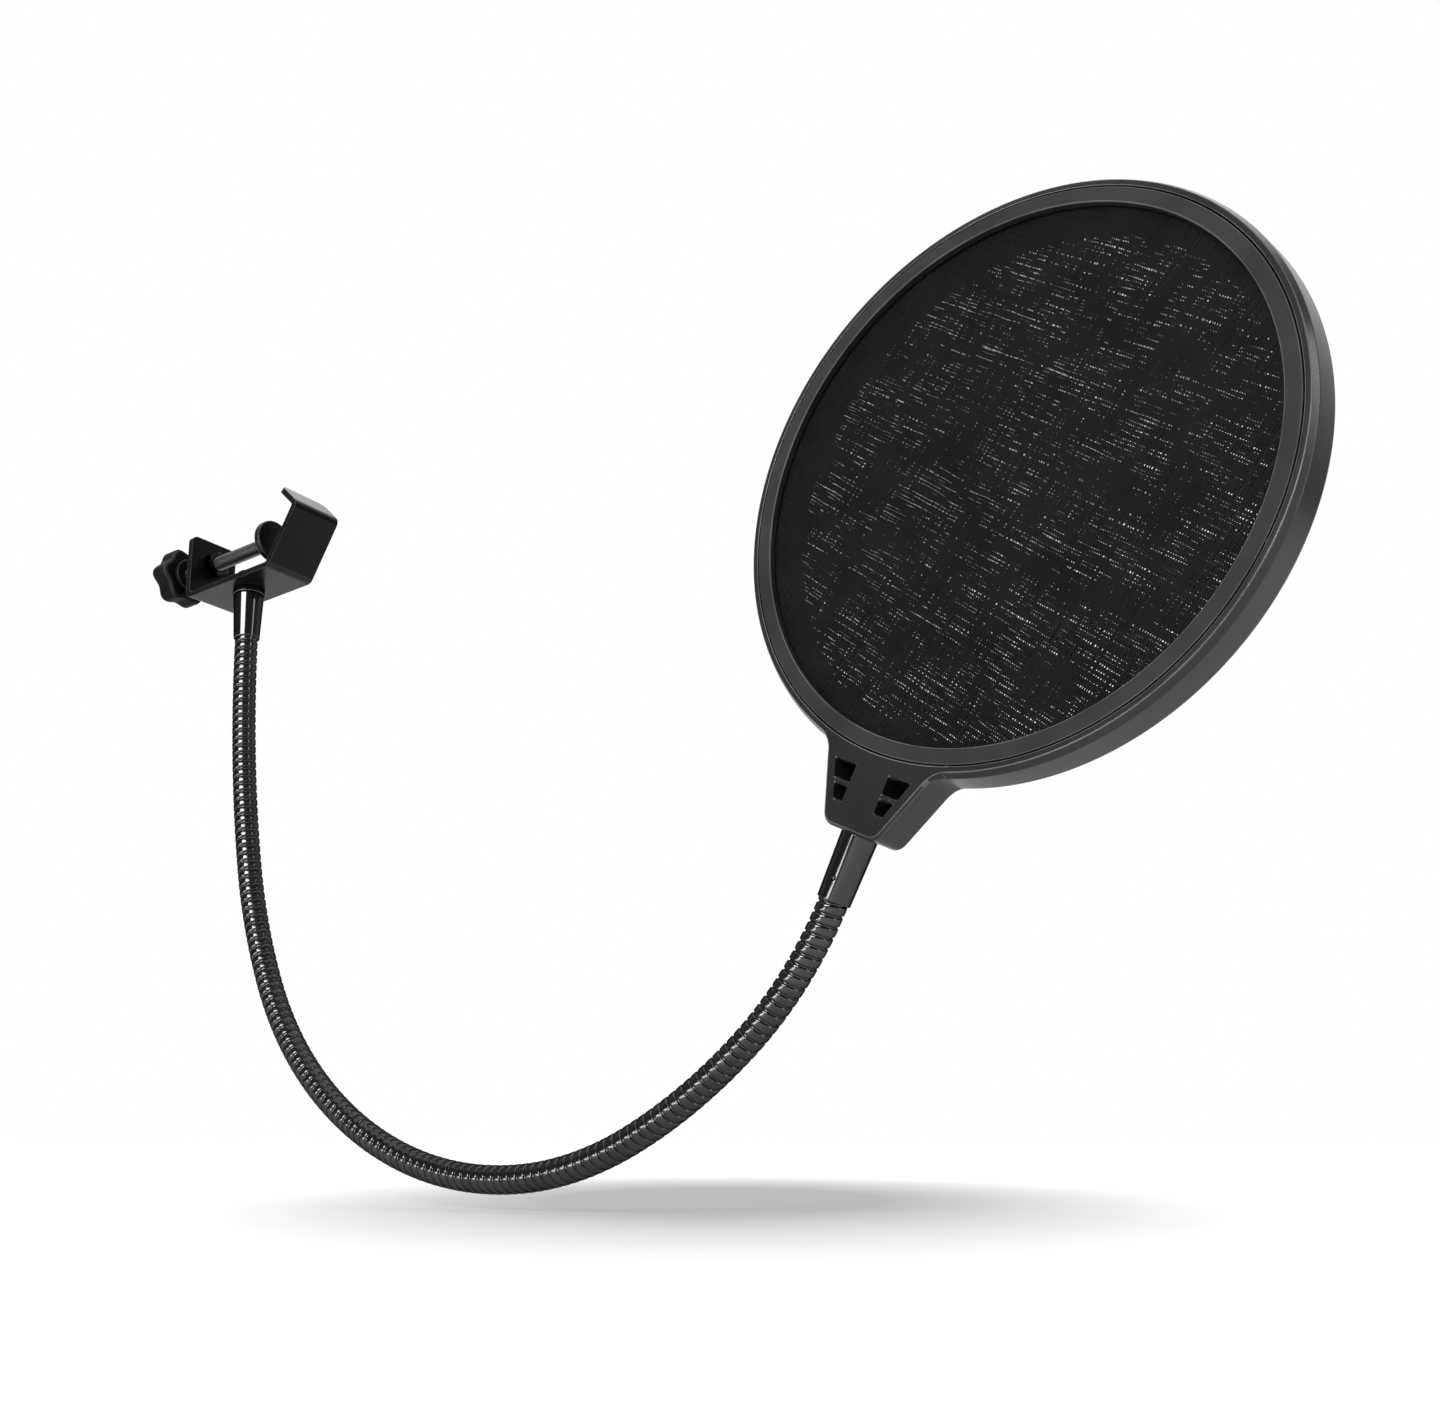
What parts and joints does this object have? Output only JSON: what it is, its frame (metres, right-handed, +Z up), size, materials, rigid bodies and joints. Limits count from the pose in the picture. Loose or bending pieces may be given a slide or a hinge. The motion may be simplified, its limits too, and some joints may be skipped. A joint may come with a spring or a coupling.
{
  "type": "pop filter",
  "caption": "Round mesh pop filter on a ribbed gooseneck arm, with a screw clamp that grips a microphone stand's pole in a V-shaped jaw.",
  "frame": {"origin": "on the axis of a 16 mm stand pole seated in the clamp's V jaw, midway across the strip", "axes": "+Y along the pole, +X from the thumb screw towards the jaw, +Z up along the lower ferrule"},
  "size_m": [0.3933, 0.0365, 0.2357],
  "materials": {
    "painted_steel": "satin",
    "plated_steel": "gloss",
    "bare_steel": "satin",
    "gooseneck_steel": "gloss",
    "moulded_plastic": "matte",
    "nylon_mesh": "matte"
  },
  "bodies": {
    "clamp_body": {"bracket": "painted_steel", "clamp_nut": "plated_steel", "ferrule_screw": "plated_steel", "ferrule_washer": "plated_steel", "ferrule_collar": "plated_steel", "lower_ferrule": "plated_steel", "neck_segment_1": "gooseneck_steel"},
    "pad_body": {"swivel_pad": "plated_steel"},
    "screw_body": {"thumb_screw": "bare_steel", "knob": "moulded_plastic"},
    "neck_body_2": {"neck_segment_2": "gooseneck_steel"},
    "neck_body_3": {"neck_segment_3": "gooseneck_steel"},
    "neck_body_4": {"neck_segment_4": "gooseneck_steel"},
    "neck_body_5": {"neck_segment_5": "gooseneck_steel"},
    "neck_body_6": {"neck_segment_6": "gooseneck_steel"},
    "neck_body_7": {"neck_segment_7": "gooseneck_steel"},
    "neck_body_8": {"neck_segment_8": "gooseneck_steel"},
    "head_body": {"neck_segment_9": "gooseneck_steel", "upper_ferrule": "plated_steel", "head_stud": "plated_steel", "frame_shell": "moulded_plastic", "rear_mesh": "nylon_mesh", "spacer_ring": "moulded_plastic", "front_mesh": "nylon_mesh", "bezel_ring": "moulded_plastic"}
  },
  "joints": [
    {"name": "clamp_travel", "type": "slide", "parent": "clamp_body", "child": "pad_body", "axis": [1, 0, 0], "range_m": [-0.023, 0.0095]},
    {"name": "screw_turn", "type": "hinge", "parent": "pad_body", "child": "screw_body", "pos_m": [-0.0354, 0, -0.0037], "axis": [1, 0, 0], "range_deg": [-10800, 4680]},
    {"name": "neck_bend_1", "type": "hinge", "parent": "clamp_body", "child": "neck_body_2", "pos_m": [-0.019, 0, -0.07805], "axis": [0, -1, 0], "range_deg": [-20, 12]},
    {"name": "neck_sway_2", "type": "hinge", "parent": "neck_body_2", "child": "neck_body_3", "pos_m": [-0.01349, 0, -0.11856], "axis": [-0.9833, 0, -0.1822], "range_deg": [-20, 20]},
    {"name": "neck_bend_3", "type": "hinge", "parent": "neck_body_3", "child": "neck_body_4", "pos_m": [-0.00155, 0, -0.15759], "axis": [0, -1, 0], "range_deg": [-20, 12]},
    {"name": "neck_sway_4", "type": "hinge", "parent": "neck_body_4", "child": "neck_body_5", "pos_m": [0.02161, 0, -0.19098], "axis": [-0.6947, 0, -0.7193], "range_deg": [-20, 20]},
    {"name": "neck_bend_5", "type": "hinge", "parent": "neck_body_5", "child": "neck_body_6", "pos_m": [0.05552, 0, -0.21343], "axis": [0, -1, 0], "range_deg": [-20, 12]},
    {"name": "neck_sway_6", "type": "hinge", "parent": "neck_body_6", "child": "neck_body_7", "pos_m": [0.09526, 0, -0.22205], "axis": [-0.0262, 0, -0.9997], "range_deg": [-20, 20]},
    {"name": "neck_bend_7", "type": "hinge", "parent": "neck_body_7", "child": "neck_body_8", "pos_m": [0.13523, 0, -0.21483], "axis": [0, -1, 0], "range_deg": [-20, 12]},
    {"name": "neck_sway_8", "type": "hinge", "parent": "neck_body_8", "child": "head_body", "pos_m": [0.17063, 0, -0.19459], "axis": [0.6088, 0, -0.7934], "range_deg": [-20, 20]}
  ],
  "couplings": [
    {"joint": "screw_turn", "follows": "clamp_travel", "rad_per_m": 7854}
  ]
}
